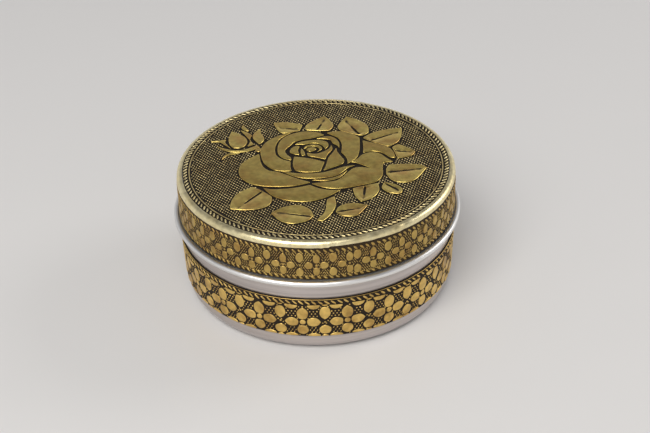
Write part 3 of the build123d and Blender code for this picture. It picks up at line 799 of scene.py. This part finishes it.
def petalPlaces(columns, rows, middle, chance):
    # columns: (place along the band, True for a flower centre); rows say what stands in such a column
    places = []
    for along, isCentre in columns:
        for offset, z, wide, long, angle, tip, blunt, half in rows["centre" if isCentre else "crossing"]:
            places.append((along + offset, middle + z + chance.uniform(-0.05, 0.05),
                           wide * chance.uniform(1.02, 1.1), long * chance.uniform(1.01, 1.07),
                           radians(angle + chance.uniform(-3, 3)), tip, blunt, half,
                           chance.uniform(0.85, 1.05)))
    return places


def plainPlace(s, z, wide, long, tall, angle=0):
    # a place for a shape without a tip, a blunt end or a cut
    return s, z, wide, long, angle, 0, 0, False, tall


def bandPetals(bm, places, wrap, rise, shape):
    def put(place, point):
        along, z, wide, long, angle, tip, blunt, half, tall = place
        x, y = petalOutline(point.x, point.y, wide, long, tip, blunt)
        if half:
            y = min(y, 0.04 * y)  # cut off flat by the border
        x, y = turned(x, y, angle)
        height = point.z * rise * tall
        return wrap(along + x, z + y, height - sunk), height

    putCopies(bm, shape, places, put)


def bandRope(bm, z, band, wrap, around, chance):
    count = band["ropeCount"]
    places = [(around * index / count + chance.uniform(-0.08, 0.08), chance.uniform(0.88, 1.08),
               radians(band["ropeLean"] + chance.uniform(-5, 5))) for index in range(count)]

    def put(place, point):
        along, size, angle = place
        x, y = turned(point.x * band["ropeLong"] / 2, point.y * band["ropeWide"] / 2 * size, angle)
        height = point.z * band["ropeRise"] * size
        return wrap(along + x, z + y, height - sunk), height

    putCopies(bm, strandShape, places, put)


def covered(s, z, places, grow):
    for along, row, wide, long, angle, _, _, half, _ in places:
        x, y = s - along, z - row
        if abs(x) > farthest or abs(y) > farthest:
            continue
        x, y = turned(x, y, -angle)
        if half and y > 0:
            y *= 20  # nearly nothing stands beyond the cut
        if (x / (wide / 2 + grow)) ** 2 + (y / (long / 2 + grow)) ** 2 < 1:
            return True
    return False


# lid band, with its plain margin folded over the corner

lidBand = {"foil": 0.3, "overFoil": 0.22, "foot": 0.08, "marginIn": 1.8, "corner": 1.55, "columns": 56,
           "seamAt": 11.3, "seamGap": 1.3, "pitch": 5.43, "centreRow": 35.6, "steps": 360, "petalRise": 0.24,
           "button": 1.15, "dotRows": (4.72, -4.02), "dotPitch": 1.05, "dotSize": 0.62, "dotClear": 0.1,
           "ropeHigh": 41.15, "ropeLow": 30.95, "ropeCount": 150, "ropeLong": 1.95, "ropeWide": 0.82,
           "ropeRise": 0.26, "ropeLean": -42, "hatchTop": 0.7, "hatchFoot": 0.75, "hatchLean": 32,
           "hatchPitch": 0.78, "hatchRow": 1.0, "hatchLong": 1.5, "hatchWide": 0.42, "hatchRise": 0.15,
           "hatchClear": 0.12}
# offset, height above the row, width, length, turn, tip, blunt, half
lidRows = {
    "centre": [(0, 2.65, 2.25, 3.7, 0, 0.75, 0.35, False), (0, -2.3, 2.25, 3.2, 180, 0.6, 0.35, False),
               (2.6, 0, 2.6, 2.8, -90, 0.45, 0.35, False), (-2.6, 0, 2.6, 2.8, 90, 0.45, 0.35, False)],
    "crossing": [(0, 2.9, 2.6, 3.7, 180, 0.8, 0.3, False), (0, -2.6, 2.5, 3.4, 0, 0.8, 0.3, False)]}
margin = {"proud": 0.12, "round": 0.09, "skirt": 0.5, "edge": 42.45, "edgeAfterSeam": 43.0, "seamAt": 3.4,
          "overlap": 0.06, "overlapLong": 20, "wave": 0.16, "ripple": 0.07, "notch": (0.9, -0.22, 0.35),
          "lump": 0.05, "flatInside": 0.6, "steps": 480,
          "creases": [(-36.0, 0.14, 0.9), (27.5, 0.11, 1.0), (29.9, -0.07, 1.0), (3.4, 0.1, 0.35),
                      (-61.0, 0.1, 1.1), (88.0, -0.1, 0.8), (132.0, 0.12, 0.9)]}
lidSkin = nodeBox("lid_band")[1][0] - lidBand["overFoil"]


def lidWrap(s, z, height):
    return wrapPoint(lidSkin, lidSkin, s, z, height)


def marginEdge(s):
    # lower edge of the folded margin, wavy as it was pressed by hand
    wave = margin["wave"] * noise.noise(Vector((s / 5.5, 0, 3.1)))
    wave += margin["ripple"] * noise.noise(Vector((s / 1.6, 0, 8.4)))
    past = max(0, min(1, (s - margin["seamAt"]) / 0.3)) * exp(-max(0, s - margin["seamAt"]) / 30)
    place, depth, wide = margin["notch"]
    notch = depth * exp(-((s - place) / wide) ** 2)
    return margin["edge"] + (margin["edgeAfterSeam"] - margin["edge"]) * past + wave + notch


def makeLidMargin(radius, topZ):
    corner, proud = lidBand["corner"], margin["proud"]
    start = topZ - corner
    skirtZ = start - margin["skirt"]
    bm = bmesh.new()
    inner = radius - lidBand["marginIn"]
    drawProfile(bm, [
        (inner, topZ - sunk, 0), (inner, topZ + proud, margin["round"]),
        (radius + proud, topZ + proud, corner + proud), (radius + proud, skirtZ, margin["round"]),
        (radius - sunk, skirtZ, 0), (radius - sunk, topZ - sunk, corner)], segments=12, guard=0.1)
    spinProfile(bm, margin["steps"])
    centre = radius - corner
    for vert in bm.verts:
        x, y, z = vert.co
        reach = hypot(x, y)
        s = atan2(x, -y) * radius
        if z < start:
            z = start - (start - z) * (start - marginEdge(s)) / margin["skirt"]
        out = Vector((max(0, reach - centre), max(0, z - start)))
        out = out.normalized() if out.length else Vector((0, 1))
        lumps = noise.noise(Vector((s / 6, z / 3, 1.3))) + 0.5 * noise.noise(Vector((s / 2.2, z, 5)))
        shift = margin["lump"] * lumps
        for place, depth, wide in margin["creases"]:
            shift += depth * exp(-((s - place - 0.5 * (z - start)) / wide) ** 2)
        if -margin["overlapLong"] < s < margin["seamAt"]:  # one end of the strip lies over the other
            shift += margin["overlap"] * min(1, (s + margin["overlapLong"]) / margin["overlapLong"])
        shift *= min(1, max(0, (reach - inner) / margin["flatInside"]))
        reach += out.x * shift
        z += out.y * shift
        vert.co = (reach * sin(s / radius), -reach * cos(s / radius), z)
    setLift(bm, lambda co: 1)
    makePiece("lidMargin", bm, "lid", "band_foil", foils["marginFoilPaintedHighlight"], "lid_band")


def nearby(s, places, around):
    # the places within reach of s, brought to the same turn of the band
    close = []
    for place in places:
        away = (place[0] - s + around / 2) % around - around / 2
        if abs(away) < farthest:
            close.append((s + away, *place[1:]))
    return close


def makeLidHatch(columns, taken, around, chance):
    # slanted lines that fan out from each crossing, wherever no petal stands
    lean = radians(lidBand["hatchLean"])
    slant = tan(lean)
    row, pitch, crossing = lidBand["centreRow"], lidBand["pitch"], columns[0][0]
    top, bottom = lidBand["ropeHigh"] - lidBand["hatchTop"], lidBand["ropeLow"] + lidBand["hatchFoot"]
    count = round(around / lidBand["hatchPitch"])
    hatch = []
    for level in range(int((top - bottom) / lidBand["hatchRow"]) + 1):
        z = bottom + level * lidBand["hatchRow"]
        for side in (1, -1):
            for index in range(count):
                s = index * around / count + side * (z - row) * slant
                fromCrossing = (s - crossing + pitch) % (2 * pitch) - pitch
                if fromCrossing * (z - row) * side < 0:
                    continue
                if covered(s, z, nearby(s, taken, around), lidBand["hatchClear"]):
                    continue
                hatch.append(plainPlace(s, z, lidBand["hatchWide"], lidBand["hatchLong"],
                                        chance.uniform(0.8, 1.1), -side * lean))
    bm = bmesh.new()
    bandPetals(bm, hatch, lidWrap, lidBand["hatchRise"], ridgeShape)
    makePiece("lidHatch", bm, "lid", "band_foil", foils["lidFoil"], "lid_band")


def makeLidBand():
    low, high = nodeBox("lid_band")
    footZ, topZ = low[2], high[2]
    radius = high[0] - lidBand["overFoil"]
    foil, corner = lidBand["foil"], lidBand["corner"]
    bm = bmesh.new()
    inner = radius - lidBand["marginIn"]
    drawProfile(bm, [
        (radius - foil, footZ, 0), (radius, footZ, lidBand["foot"]), (radius, topZ, corner), (inner, topZ, 0),
        (inner, topZ - foil, 0), (radius - foil, topZ - foil, corner - foil)])
    spinProfile(bm, lidBand["steps"])
    setLift(bm, lambda co: 0)
    chance = Random(21)
    around = tau * radius
    row, pitch = lidBand["centreRow"], lidBand["pitch"]
    start = lidBand["seamAt"] + lidBand["seamGap"]
    columns = [(start + pitch * k, k % 2 == 1) for k in range(lidBand["columns"])]
    petals = [petal for petal in petalPlaces(columns, lidRows, row, chance)
              if petal[0] < columns[-1][0] + 1]  # the strip is cut at its seam
    bandPetals(bm, petals, lidWrap, lidBand["petalRise"], petalShape)
    button = lidBand["button"]
    centres = [plainPlace(along, row, button, button, 0.8) for along, isCentre in columns if isCentre]
    dots = []
    count, size = int(around / lidBand["dotPitch"]), lidBand["dotSize"]
    for offset in lidBand["dotRows"]:
        for index in range(count):
            s = index * around / count
            if not covered(s, row + offset, nearby(s, petals, around), lidBand["dotClear"]):
                dots.append(plainPlace(s, row + offset, size, size, chance.uniform(0.5, 0.8)))
    bandPetals(bm, centres + dots, lidWrap, lidBand["petalRise"], knurlShape)
    for z in (lidBand["ropeHigh"], lidBand["ropeLow"]):
        bandRope(bm, z, lidBand, lidWrap, around, chance)
    makePiece("lidBand", bm, "lid", "band_foil", foils["lidFoil"], "lid_band")
    makeLidHatch(columns, petals + centres, around, chance)
    makeLidMargin(radius, topZ)


# cup band, larger flowers under a rope and a thin line

cupBand = {"foil": 0.3, "glue": 0.15, "edge": 0.08, "columns": 40, "crossingAt": 1.4, "centreRow": 12.55,
           "steps": 360, "petalRise": 0.27, "button": 2.1, "crossButton": 0.75, "ropeZ": 20.7,
           "ropeCount": 140, "ropeLong": 2.4, "ropeWide": 0.74, "ropeRise": 0.26, "ropeLean": -42,
           "lineZ": 21.87, "lineHalf": 0.09, "lineRise": 0.2, "lineRound": 0.12, "lineWave": 0.07,
           "dotPitch": 1.2, "dotRow": 0.98, "dotFoot": 0.7, "dotTop": 19.4, "dotClear": 0.22,
           "streakBelow": 11.6, "dot": (0.66, 0.7, -20), "streak": (0.42, 1.0, -28)}
cupRows = {
    "centre": [(0, 3.65, 3.7, 5.0, 0, 0.75, 0.4, False), (0, -3.3, 3.8, 3.8, 180, 0.35, 0.4, False),
               (3.72, 0, 3.5, 4.6, -90, 0.7, 0.4, False), (-3.72, 0, 3.5, 4.6, 90, 0.7, 0.4, False),
               (3.73, 7.05, 4.3, 3.3, 0, 0, 0, True), (3.73, -5.75, 4.3, 2.0, 180, 0, 0, True),
               (-3.73, 7.05, 4.3, 3.3, 0, 0, 0, True), (-3.73, -5.75, 4.3, 2.0, 180, 0, 0, True)],
    "crossing": [(0, 3.75, 3.6, 5.1, 180, 0.75, 0.35, False), (0, -3.15, 3.9, 3.8, 0, 0.7, 0.2, False),
                 (0, 7.35, 1.9, 1.0, 0, 0, 0, True), (0, -5.75, 2.2, 1.0, 180, 0, 0, True)]}
cupWallTop = nodeBox("base_shell")[1][0]
cupSkin = cupBand["glue"] + cupBand["foil"]


def cupWall(z):
    return cupWallTop - cup["footInset"] * (1 - z / cup["ledge"])


def cupWrap(s, z, height):
    return wrapPoint(cupWall(z) + cupSkin, cupWall(cupBand["centreRow"]) + cupSkin, s, z, height)


def makeCupBand():
    low, high = nodeBox("base_band")
    footZ, topZ = low[2], high[2]
    glue, skin, edge = cupBand["glue"], cupSkin, cupBand["edge"]
    bm = bmesh.new()
    drawProfile(bm, [
        (cupWall(footZ) + glue, footZ, 0), (cupWall(footZ) + skin, footZ, edge),
        (cupWall(topZ) + skin, topZ, edge), (cupWall(topZ) + glue, topZ, 0)])
    spinProfile(bm, cupBand["steps"])
    setLift(bm, lambda co: 0)
    lineZ, half, lineRound = cupBand["lineZ"], cupBand["lineHalf"], cupBand["lineRound"]
    thinLine = bmesh.new()
    wall = cupWall(lineZ) + skin
    crest = wall + cupBand["lineRise"]
    drawProfile(thinLine, [
        (wall - sunk, lineZ - half, 0), (crest, lineZ - half, lineRound), (crest, lineZ + half, lineRound),
        (wall - sunk, lineZ + half, 0)], segments=3)
    spinProfile(thinLine, cupBand["steps"])
    for vert in thinLine.verts:
        s = atan2(vert.co.x, -vert.co.y) * wall
        vert.co.z += cupBand["lineWave"] * noise.noise(Vector((s / 4, 0, 2.2)))
    setLift(thinLine, lambda co: 0.3)
    addMesh(bm, thinLine)
    chance = Random(33)
    around = tau * (cupWall(cupBand["centreRow"]) + skin)
    pitch = around / cupBand["columns"]
    row = cupBand["centreRow"]
    columns = [(cupBand["crossingAt"] + pitch * k, k % 2 == 1) for k in range(cupBand["columns"])]
    taken = petalPlaces(columns, cupRows, row, chance)
    button, small = cupBand["button"], cupBand["crossButton"]
    taken += [plainPlace(along, row, button, button, 0.9) for along, isCentre in columns if isCentre]
    taken += [plainPlace(along, row, small, small, 0.7) for along, isCentre in columns if not isCentre]
    bandPetals(bm, taken, cupWrap, cupBand["petalRise"], petalShape)
    dots = []
    count = round(around / cupBand["dotPitch"])
    for level in range(int((topZ - footZ) / cupBand["dotRow"])):
        z = footZ + cupBand["dotFoot"] + level * cupBand["dotRow"]
        if z > cupBand["dotTop"]:
            continue
        for index in range(count):
            s = (index + 0.5 * (level % 2)) * around / count
            if covered(s, z, nearby(s, taken, around), cupBand["dotClear"]):
                continue
            wide, long, lean = cupBand["streak" if z < cupBand["streakBelow"] else "dot"]
            dots.append(plainPlace(s, z, wide, long, chance.uniform(0.6, 0.9), radians(lean)))
    bandPetals(bm, dots, cupWrap, cupBand["petalRise"], knurlShape)
    bandRope(bm, cupBand["ropeZ"], cupBand, cupWrap, around, chance)
    makePiece("cupBand", bm, "base", "band_foil", foils["bandFoil"], "base_band")


makeLidBand()
makeCupBand()
print("bands made")


# glue films keep their CAD meshes

for name in ("lid_top_glue", "lid_band_glue", "base_band_glue"):
    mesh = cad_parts[name].data
    mesh.materials.clear()
    mesh.materials.append(foils["amberGlue"])


# pale floor, soft light

room = {"floorSize": 6.0, "floorColor": (0.72, 0.71, 0.70, 1), "worldLow": (0.78, 0.78, 0.78, 1),
        "worldHigh": (0.22, 0.22, 0.23, 1), "worldStrength": 1.0}
lamps = {
    "key": {"place": (-0.32, -0.75, 1.0), "aim": (0, 0, 0.03), "size": 0.85, "power": 13,
            "color": (1, 0.98, 0.95)},
    "fill": {"place": (0.95, 0.35, 0.6), "aim": (0, 0, 0.03), "size": 0.5, "power": 3,
             "color": (1, 0.98, 0.96)},
}


def makeRoom():
    bm = bmesh.new()
    bmesh.ops.create_grid(bm, x_segments=8, y_segments=8, size=room["floorSize"] / 2)
    mesh = bpy.data.meshes.new("floor")
    bm.to_mesh(mesh)
    bm.free()
    floor = bpy.data.objects.new("floor", mesh)
    bpy.context.scene.collection.objects.link(floor)
    material = bpy.data.materials.new("floorPaper")
    material.use_nodes = True
    tree = material.node_tree
    shader = tree.nodes["Principled BSDF"]
    shader.inputs["Base Color"].default_value = room["floorColor"]
    tree.links.new(remap(tree, objectNoise(tree, 30), 0.3, 0.7, 0.42, 0.55), shader.inputs["Roughness"])
    mesh.materials.append(material)
    world = bpy.data.worlds.new("studio")
    world.use_nodes = True
    tree = world.node_tree
    sky = add(tree, "TexCoord").outputs["Generated"]
    rise = add(tree, "SeparateXYZ", {0: sky}).outputs[2]
    color = mixColor(tree, remap(tree, rise, 0.05, 0.75, 0, 1, True), room["worldLow"], room["worldHigh"])
    tree.links.new(color, tree.nodes["Background"].inputs["Color"])
    tree.nodes["Background"].inputs["Strength"].default_value = room["worldStrength"]
    bpy.context.scene.world = world


def makeLamps():
    for name, given in lamps.items():
        data = bpy.data.lights.new(name, "AREA")
        data.size = given["size"]
        data.energy = given["power"]
        data.color = given["color"]
        lamp = bpy.data.objects.new(name, data)
        lamp.location = given["place"]
        lamp.rotation_euler = (Vector(given["aim"]) - lamp.location).to_track_quat("-Z", "Y").to_euler()
        bpy.context.scene.collection.objects.link(lamp)


makeRoom()
makeLamps()
print("room and lamps made")
